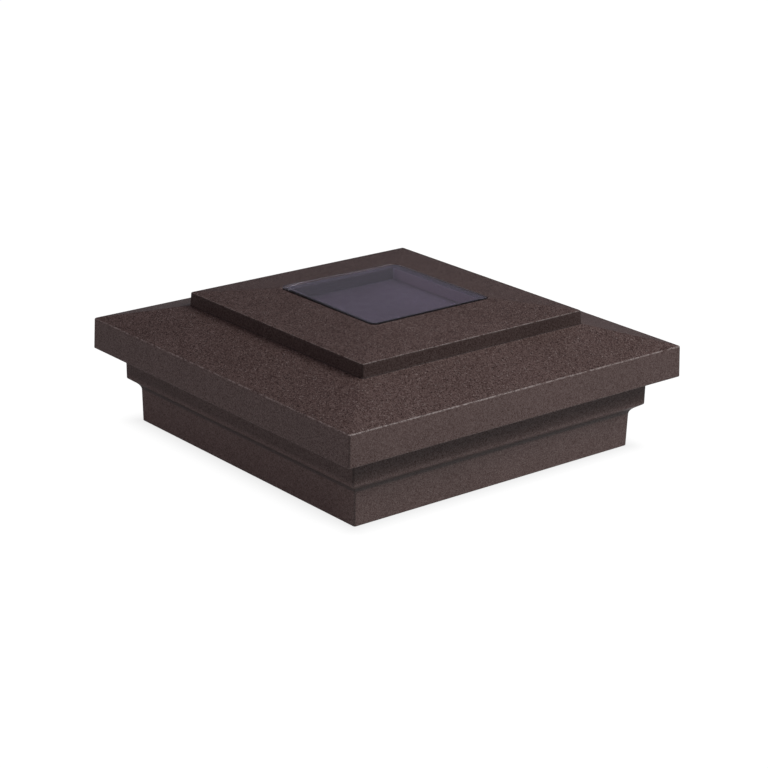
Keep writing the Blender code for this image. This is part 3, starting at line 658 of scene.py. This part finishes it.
def make_cap(materials):
    """The upper casting: fascia, roof, tier, window and collar, with the sleeves for its screws."""
    fascia_in = FASCIA_FOOT_HALF - WALL + EASE
    tier_in = TIER_TOP_HALF - WALL + EASE
    collar_out = LIP_HALF + WALL
    draft = 0.2
    bm = bmesh.new()
    # The shade values paint shade on the fascia and the tier wall; the top edges are painted lighter for
    # rubbed coat and a painted highlight.
    casting_into(bm, [
        corner(FASCIA_FOOT_HALF, FASCIA_FOOT_Z, 0.3, shade=0.09),
        corner(CAP_HALF, FASCIA_TOP_Z, 0.5, wear_and_highlight=1.0),
        corner(TIER_FOOT_HALF, TIER_FOOT_Z, 0.3, shade=0.48),
        corner(TIER_TOP_HALF, TIER_TOP_Z, 0.35, wear_and_highlight=0.9),
        corner(WINDOW_HALF, WINDOW_Z, 0.2, turn=WINDOW_TURN),
        corner(WINDOW_HALF, LIP_Z, 0.12),
        corner(LIP_HALF, LIP_Z, 0.15),
        corner(LIP_HALF, COLLAR_FOOT_Z, 0.15),
        corner(collar_out, COLLAR_FOOT_Z, 0.15),
        corner(collar_out, under_tier(collar_out), 0.4),
        corner(tier_in, under_tier(tier_in), 0.4),
        corner(tier_in + draft, under_roof(tier_in + draft), 0.4),
        corner(fascia_in - draft, under_roof(fascia_in - draft), 0.6),
        corner(fascia_in, FASCIA_FOOT_Z, 0.25),
    ])
    # Each kind of sleeve: its place along X and Y, foot, top and outer radius. The tops sink into the wall.
    sleeves = (
        (HOUSING_SCREW_AT, PILLAR_TOP_Z + GAP, under_tier(HOUSING_SCREW_AT) + 1.0, 2.7),
        (SKIRT_SCREW_AT, FLANGE_TOP_Z + GAP, under_roof(SKIRT_SCREW_AT) + 0.9, 3.2),
    )
    for x, y in corner_signs():
        for at, low, high, outer in sleeves:
            tube_into(bm, (x * at, y * at), low, high, HOLE_RADIUS, outer)
    cap = finish_mesh("cap_casting", bm, materials["bronze_coat"])
    return place(cap, "cap", "bronze_coat", "top_cap")


def make_skirt(materials):
    """The lower casting: post sleeve, cove, ledge and flange, with countersunk screw holes."""
    turn = pi / 2 - COVE_SLOPE
    centre_half = SKIRT_NECK_HALF + COVE_RADIUS
    cove_end = (centre_half - COVE_RADIUS * cos(turn), SKIRT_NECK_Z + COVE_RADIUS * sin(turn))
    # The cove is the rounded corner where the skirt's wall meets its slope.
    slope = Vector((LEDGE_FOOT_HALF, LEDGE_FOOT_Z)) - Vector(cove_end)
    to_wall = (cove_end[0] - SKIRT_NECK_HALF) / slope.x
    corner_z = cove_end[1] - slope.y * to_wall
    inner = LEDGE_HALF - WALL - 0.3
    bm = bmesh.new()
    # The shade values paint shade on the slope and the ledge wall.
    casting_into(bm, [
        corner(SKIRT_FOOT_HALF, 0.0, 0.25),
        corner(SKIRT_NECK_HALF, corner_z, COVE_RADIUS, shade=0.1),
        corner(LEDGE_FOOT_HALF, LEDGE_FOOT_Z, 0.45, shade=0.34),
        corner(LEDGE_HALF, FLANGE_TOP_Z, 0.3),
        corner(FLANGE_HALF, FLANGE_TOP_Z, 0.3),
        corner(FLANGE_HALF, SEAT_Z, 0.3),
        corner(inner, SEAT_Z, 0.6),
        corner(inner, LEDGE_FOOT_Z + 1.4, 0.5),
        corner(POST_ROOM_HALF, SKIRT_NECK_Z + 1.2, 0.5),
        corner(POST_ROOM_HALF, 0.0, 0.25),
    ])
    skirt = finish_mesh("skirt_casting", bm, materials["bronze_coat"], smooth_angle=0)
    holes = bmesh.new()
    at = SKIRT_SCREW_AT
    past = 1.0
    sink_past = 0.5
    for x, y in corner_signs():
        foot = (x * at, y * at, SEAT_Z - past)
        rod_into(holes, foot, FLANGE_TOP_Z - SEAT_Z + 2 * past, HOLE_RADIUS)
        sink_foot = (x * at, y * at, SEAT_Z - sink_past)
        rod_into(holes, sink_foot, length=2.2, radius=3.4, top_radius=HOLE_RADIUS - 0.1)
    boolean(skirt, holes, "DIFFERENCE")
    skirt.data.set_sharp_from_angle(angle=radians(35))
    return place(skirt, "cap", "bronze_coat", "skirt")


# ---- Window ----

def make_window(materials):
    """The clear cover, the gasket with its sleeve down the well, and the cell at the well's foot."""
    cover_half = WINDOW_HALF - COVER_GAP
    gasket_top = LIP_Z + GAP + GASKET_THICK
    gasket_foot = PANEL_FACE_Z + 0.07
    sleeve = LIP_HALF - GAP
    bm = bmesh.new()
    cover_into(bm, cover_half, COVER_CLIPS, gasket_top + GAP)
    cover = finish_mesh("window_cover", bm, materials["clear_cover"], smooth_angle=50)
    cover.visible_shadow = False
    cover.visible_diffuse = False
    place(cover, "cap", "clear_cover", "panel_cover")

    bm = bmesh.new()
    gasket_half = cover_half - 0.1
    casting_into(bm, [
        corner(gasket_half, LIP_Z + GAP, 0.1),
        corner(gasket_half, gasket_top, 0.15),
        corner(sleeve - GASKET_SLEEVE, gasket_top, 0.15),
        corner(sleeve - GASKET_SLEEVE, gasket_foot, 0.05),
        corner(sleeve, gasket_foot, 0.05),
        corner(sleeve, LIP_Z + GAP, 0.1),
    ])
    gasket = finish_mesh("window_gasket", bm, materials["well_lining"])
    place(gasket, "cap", "black_rubber", "cover_gasket")

    bm = bmesh.new()
    panel_foot_z = model_box("solar_cell")[0][2]
    slab_into(bm, clipped_square(PANEL_HALF, PANEL_CLIP), panel_foot_z, PANEL_FACE_Z)
    cell = bevel(finish_mesh("cell_laminate", bm, materials["silicon"]), 0.15)
    place(cell, "cap", "silicon", "solar_cell")


def cover_into(bm, half, clips, low):
    """Adds the cover: a slab with clipped corners, whose top stands proudest at its back left corner."""
    outline = []
    for number, ((x, y), clip) in enumerate(zip(corner_signs(), clips)):
        ends = [Vector((x * half, y * (half - clip))), Vector((x * (half - clip), y * half))]
        outline += ends[::-1] if number % 2 else ends
    edge = []
    steps = 12  # of each stretch of the outline
    for start, end in zip(outline, outline[1:] + outline[:1]):
        edge += [start.lerp(end, step / steps) for step in range(steps)]

    def top(point):
        towards = max(0.0, (point.y - point.x) / (2 * half - clips[1]))
        return WINDOW_Z + COVER_STEP + COVER_LIFT * towards**1.4

    rings = [[bm.verts.new((*point, low)) for point in edge]]
    for scale in (1.0, 0.985, 0.95, 0.8, 0.6, 0.4, 0.2):
        drop = COVER_EDGE_DROP if scale == 1.0 else 0.0
        rings.append([bm.verts.new((*(point * scale), top(point * scale) - drop)) for point in edge])
    bm.faces.new(rings[0])
    bm.faces.new(rings[-1])
    for ring, following in zip(rings, rings[1:]):
        for quad in quads_between(ring, following):
            bm.faces.new(quad)


# ---- Fasteners ----

def threaded(foot, length, radius, pitch=0.9):
    """The (radius, height) points of a thread that leaves a plain tip."""
    points = []
    root = radius * 0.8
    tip = 1.6
    for turn in range(int((length - tip) / pitch)):
        z = foot + turn * pitch
        points += [(root, z + 0.15 * pitch), (radius, z + 0.5 * pitch), (root, z + 0.85 * pitch)]
    return points


def recess_into(bm, at, foot_z, reach, depth, width):
    """Adds a cross-shaped cutter that narrows towards its floor."""
    x, y = at
    for along, across in ((reach, width), (width, reach)):
        corners = ((along, across), (-along, across), (-along, -across), (along, -across))
        low = [bm.verts.new((x + a, y + b, foot_z - 0.5)) for a, b in corners]
        high = [bm.verts.new((x + a * 0.55, y + b * 0.8, foot_z + depth)) for a, b in corners]
        bm.faces.new(low)
        bm.faces.new(high)
        for side in range(4):
            beyond = (side + 1) % 4
            bm.faces.new((low[side], low[beyond], high[beyond], high[side]))


def make_screw(materials, node, head):
    """A cross-recessed screw with its head at the bottom. Head is a list of (radius, height) points."""
    low, high = model_box(node)
    at = ((low[0] + high[0]) / 2, (low[1] + high[1]) / 2)
    foot_z = low[2]
    length = high[2] - low[2]
    bm = bmesh.new()
    shank_foot = head[-1][1]
    outline = [(0, 0), *head, *threaded(shank_foot, length - shank_foot, SHANK_RADIUS)]
    outline += [(SHANK_RADIUS * 0.75, length - 1.2), (0.25, length - 0.05), (0, length)]
    turned_into(bm, outline, (*at, foot_z))
    screw = finish_mesh(f"{node}_turned", bm, materials["zinc"], smooth_angle=30)
    cutter = bmesh.new()
    recess_into(cutter, at, foot_z, reach=1.35, depth=0.85, width=0.32)
    boolean(screw, cutter, "DIFFERENCE")
    screw.data.set_sharp_from_angle(angle=radians(30))
    place(screw, "cap", "zinc", node)


def make_fasteners(materials):
    """Pan-head screws hold the tray, and countersunk ones the skirt."""
    pan_head = [
        (1.2, 0.02), (1.9, 0.1), (2.4, 0.3), (2.65, 0.65), (2.7, 1.1), (2.68, 1.75),
        (SHANK_RADIUS, 1.8), (SHANK_RADIUS, 1.95),
    ]
    flat_head = [(2.55, 0.0), (2.7, 0.1), (2.7, 0.28), (1.5, 1.5), (SHANK_RADIUS, 1.6)]
    for number in range(1, 5):
        make_screw(materials, f"housing_screw_{number}", pan_head)
        make_screw(materials, f"skirt_screw_{number}", flat_head)


# ---- Battery ----

def make_battery(materials):
    """A round cell lying along X: wrap with rolled ends, a cap button, and a flat foot."""
    low, high = model_box("battery")
    button_height = 1.3
    half = (high[0] - low[0] - button_height) / 2
    radius = (high[2] - low[2]) / 2
    x, y, z = low[0] + half, low[1] + radius, low[2] + radius
    foot = [
        (0, -half + 0.25), (4.6, -half + 0.25), (5.0, -half),
        (radius - 0.7, -half), (radius - 0.2, -half + 0.2), (radius, -half + 0.7),
    ]
    groove = [
        (radius, half - 1.9), (radius - 0.25, half - 1.5),
        (radius - 0.25, half - 1.1), (radius, half - 0.8),
    ]
    shoulder = [(radius - 0.15, half - 0.3), (radius - 0.7, half), (3.4, half), (2.8, half - 0.05)]
    top = half + button_height
    button = [(2.75, top - 0.3), (2.5, top), (0, top)]
    bm = bmesh.new()
    turned_into(bm, foot + groove + shoulder + button, (0, 0, 0), sides=64)
    bmesh.ops.rotate(bm, verts=bm.verts, cent=(0, 0, 0), matrix=Matrix.Rotation(pi / 2, 3, "Y"))
    bmesh.ops.translate(bm, verts=bm.verts, vec=(x, y, z))
    cell = finish_mesh("battery_cell", bm, materials["cell_wrap"], smooth_angle=30)
    cell.data.materials.append(materials["nickel"])
    for face in cell.data.polygons:
        from_axis = (Vector(face.center) / MM - Vector((x, y, z))).yz.length
        if from_axis < radius - 0.75:
            face.material_index = 1
    place(cell, "cap", "cell_wrap", "battery")


# ---- Grip pads ----

def make_pads(materials):
    """Foam strips with swollen faces, glued inside the skirt."""
    low, high = model_box("grip_pad_front")
    half_length = high[0] - 0.1
    middle_z = (low[2] + high[2]) / 2
    half_width = (high[2] - low[2]) / 2 - 0.05
    edge_thick = 0.55
    swell_thick = high[1] - low[1] - edge_thick
    columns = 24
    rows = 6
    for side, degrees in SIDES:
        bm = bmesh.new()
        rings = []
        for column in range(columns + 1):
            u = 2 * column / columns - 1
            ring = []
            for row in range(rows + 1):
                v = 2 * row / rows - 1
                swell = (1 - abs(u) ** 12) * (1 - v**4)
                out = edge_thick + swell_thick * swell**0.5
                ring.append(bm.verts.new((half_length * u, low[1] + out, middle_z + half_width * v)))
            ring.append(bm.verts.new((half_length * u, low[1], middle_z + half_width)))
            ring.append(bm.verts.new((half_length * u, low[1], middle_z - half_width)))
            rings.append(ring)
        for ring, following in zip(rings, rings[1:]):
            for quad in quads_between(ring, following):
                bm.faces.new(quad)
        bm.faces.new(rings[0])
        bm.faces.new(rings[-1])
        turn_about_z(bm, degrees)
        pad = finish_mesh(f"foam_pad_{side}", bm, materials["foam"], smooth_angle=50)
        place(pad, "cap", "foam", f"grip_pad_{side}")


# ---- Carried-over nodes ----

SOFT_EDGES = {
    "battery_door": 0.22, "housing_tray": 0.22, "door_screw": 0.12, "switch_body": 0.15,
    "switch_knob": 0.18, "diffuser_ring": 0.25, "door_gasket": 0.08, "main_board": 0.08,
    "cell_board": 0.08, "driver_chip": 0.15, "plus_contact": 0.1, "minus_contact": 0.1,
}


def soften_nodes():
    """Rounds the edges of the nodes that stay as the model has them."""
    for name, width in SOFT_EDGES.items():
        bevel(frame["nodes"][name], width, 2, angle=40)


# ---- Studio ----

def emitting(name, colour, strength, diffuse=0.0, one_sided=False):
    """A stage material: light of its own, some diffuse white, and optionally nothing from behind."""
    made = bpy.data.materials.new(name)
    made.use_nodes = True
    tree = made.node_tree
    shader = tree.nodes["Principled BSDF"]
    shader.inputs["Base Color"].default_value = (diffuse, diffuse, diffuse, 1.0)
    shader.inputs["Roughness"].default_value = 1.0
    shader.inputs["Specular IOR Level"].default_value = 0.0
    shader.inputs["Emission Color"].default_value = (*colour, 1.0)
    shader.inputs["Emission Strength"].default_value = strength
    if one_sided:
        clear = tree.nodes.new("ShaderNodeBsdfTransparent")
        choose = tree.nodes.new("ShaderNodeMixShader")
        facing = tree.nodes.new("ShaderNodeNewGeometry")
        tree.links.new(facing.outputs["Backfacing"], choose.inputs[0])
        tree.links.new(shader.outputs[0], choose.inputs[1])
        tree.links.new(clear.outputs[0], choose.inputs[2])
        tree.links.new(choose.outputs[0], tree.nodes["Material Output"].inputs["Surface"])
    return made


def make_floor(name, z, material, size=8.0, opening=0.0):
    """A square floor, with a square opening in the middle where one is asked for (both in metres)."""
    bm = bmesh.new()
    if opening:
        outer = [bm.verts.new((x * size, y * size, z * MM)) for x, y in corner_signs()]
        inner = [bm.verts.new((x * opening, y * opening, z * MM)) for x, y in corner_signs()]
        for side in range(4):
            beyond = (side + 1) % 4
            bm.faces.new((outer[side], outer[beyond], inner[beyond], inner[side]))
    else:
        bm.faces.new([bm.verts.new((x * size, y * size, z * MM)) for x, y in corner_signs()])
    mesh = bpy.data.meshes.new(name)
    bm.to_mesh(mesh)
    bm.free()
    mesh.materials.append(material)
    floor = bpy.data.objects.new(name, mesh)
    bpy.context.scene.collection.objects.link(floor)
    return floor


def only_camera(thing):
    """Hides a stage piece from everything but the camera, so that it casts and reflects nothing."""
    thing.visible_diffuse = False
    thing.visible_glossy = False
    thing.visible_transmission = False
    thing.visible_volume_scatter = False
    thing.visible_shadow = False


def area_light(name, direction, distance, size, power, colour=(1, 1, 1)):
    """A square soft light that faces the middle of the object."""
    data = bpy.data.lights.new(name, "AREA")
    data.shape = "SQUARE"
    data.size = size
    data.energy = power
    data.color = colour
    made = bpy.data.objects.new(name, data)
    away = Vector(direction).normalized()
    made.location = away * distance + Vector((0, 0, 25 * MM))
    made.rotation_euler = away.to_track_quat("Z", "Y").to_euler()
    made.visible_camera = False
    bpy.context.scene.collection.objects.link(made)
    return made


def seen_floor_material():
    """White, with a painted contact shadow: a soft grey line where the skirt stands on it."""
    made = emitting("floor_seen", (1, 1, 1), strength=1.0, diffuse=0.03, one_sided=True)
    tree = made.node_tree
    place = tree.nodes.new("ShaderNodeTexCoord").outputs["Object"]
    outside = tree.nodes.new("ShaderNodeVectorMath")
    outside.operation = "ABSOLUTE"
    tree.links.new(place, outside.inputs[0])
    beyond = tree.nodes.new("ShaderNodeVectorMath")
    beyond.operation = "SUBTRACT"
    tree.links.new(outside.outputs[0], beyond.inputs[0])
    beyond.inputs[1].default_value = (SKIRT_FOOT_HALF * MM, SKIRT_FOOT_HALF * MM, 0.0)
    positive = tree.nodes.new("ShaderNodeVectorMath")
    positive.operation = "MAXIMUM"
    tree.links.new(beyond.outputs[0], positive.inputs[0])
    length = tree.nodes.new("ShaderNodeVectorMath")
    length.operation = "LENGTH"
    tree.links.new(positive.outputs[0], length.inputs[0])
    # Painted contact shadow: the floor's light dims close to the skirt's foot.
    painted_contact_shadow = tree.nodes.new("ShaderNodeMapRange")
    painted_contact_shadow.interpolation_type = "SMOOTHERSTEP"
    painted_contact_shadow.inputs["From Min"].default_value = -12 * MM
    painted_contact_shadow.inputs["From Max"].default_value = 13 * MM
    painted_contact_shadow.inputs["To Min"].default_value = 0.66
    painted_contact_shadow.inputs["To Max"].default_value = 1.02
    tree.links.new(length.outputs["Value"], painted_contact_shadow.inputs["Value"])
    tree.links.new(painted_contact_shadow.outputs["Result"], tree.nodes["Principled BSDF"].inputs["Emission Strength"])
    return made


def make_studio():
    """Two floors, one that the camera sees and one that lights the object, a backdrop and three lights."""
    seen = make_floor("floor_seen", -0.05, seen_floor_material())
    only_camera(seen)
    white = emitting("floor_bounce", (1.02, 0.99, 1.0), strength=0.22, diffuse=0.5, one_sided=True)
    bounce = make_floor("floor_bounce", -0.3, white, opening=(SKIRT_FOOT_HALF - 3) * MM)
    bounce.visible_camera = False

    bm = bmesh.new()
    bmesh.ops.create_icosphere(bm, subdivisions=5, radius=6.0)
    mesh = bpy.data.meshes.new("backdrop")
    bm.to_mesh(mesh)
    bm.free()
    mesh.materials.append(emitting("backdrop", (1, 1, 1), strength=1.05))
    backdrop = bpy.data.objects.new("backdrop", mesh)
    bpy.context.scene.collection.objects.link(backdrop)
    only_camera(backdrop)

    warm = (1.30, 0.95, 0.93)
    area_light("key", (0.12, -0.40, 0.42), distance=0.62, size=0.26, power=4.6)
    area_light("left_fill", (-0.95, 0.35, 0.3), distance=0.8, size=0.4, power=1.0, colour=warm)
    area_light("under_fill", (0.1, -0.1, -1.0), distance=0.6, size=0.5, power=4.5)

    world = bpy.data.worlds.new("studio")
    world.use_nodes = True
    sky = world.node_tree.nodes["Background"]
    sky.inputs["Color"].default_value = (0.98, 0.93, 1.06, 1.0)
    sky.inputs["Strength"].default_value = 0.155
    bpy.context.scene.world = world


def make_camera():
    """A long lens at the photograph's angle. Its aim is given in half widths of the cap."""
    azimuth = radians(-39.4847)
    elevation = radians(19.4964)
    roll = radians(1.0147)
    distance = 709.6
    aim_height = 0.35
    aim_right = 0.0051
    aim_down = 0.0931
    right = Vector((cos(azimuth), sin(azimuth), 0))
    back = Vector((sin(azimuth) * cos(elevation), -cos(azimuth) * cos(elevation), sin(elevation)))
    up = back.cross(right)
    target = (Vector((0, 0, aim_height)) + right * aim_right - up * aim_down) * CAP_HALF
    rolled_right = right * cos(roll) + up * sin(roll)
    rolled_up = up * cos(roll) - right * sin(roll)
    data = bpy.data.cameras.new("camera")
    data.sensor_width = 36.0
    data.lens = 106.16
    camera = bpy.data.objects.new("camera", data)
    turn = Matrix((rolled_right, rolled_up, back)).transposed().to_4x4()
    camera.matrix_world = Matrix.Translation((target + back * distance) * MM) @ turn
    bpy.context.scene.collection.objects.link(camera)
    bpy.context.scene.camera = camera


def main():
    scene = bpy.context.scene
    scene.view_settings.view_transform = "Standard"
    materials = make_materials()
    slots = {part["node"]: part["material_slot"] for part in frame["record"]["subparts"]}
    for name, node in frame["nodes"].items():
        node.data.materials.clear()
        node.data.materials.append(materials[slots[name]])
    make_cap(materials)
    make_skirt(materials)
    make_window(materials)
    make_fasteners(materials)
    make_battery(materials)
    make_pads(materials)
    soften_nodes()
    make_studio()
    make_camera()


main()
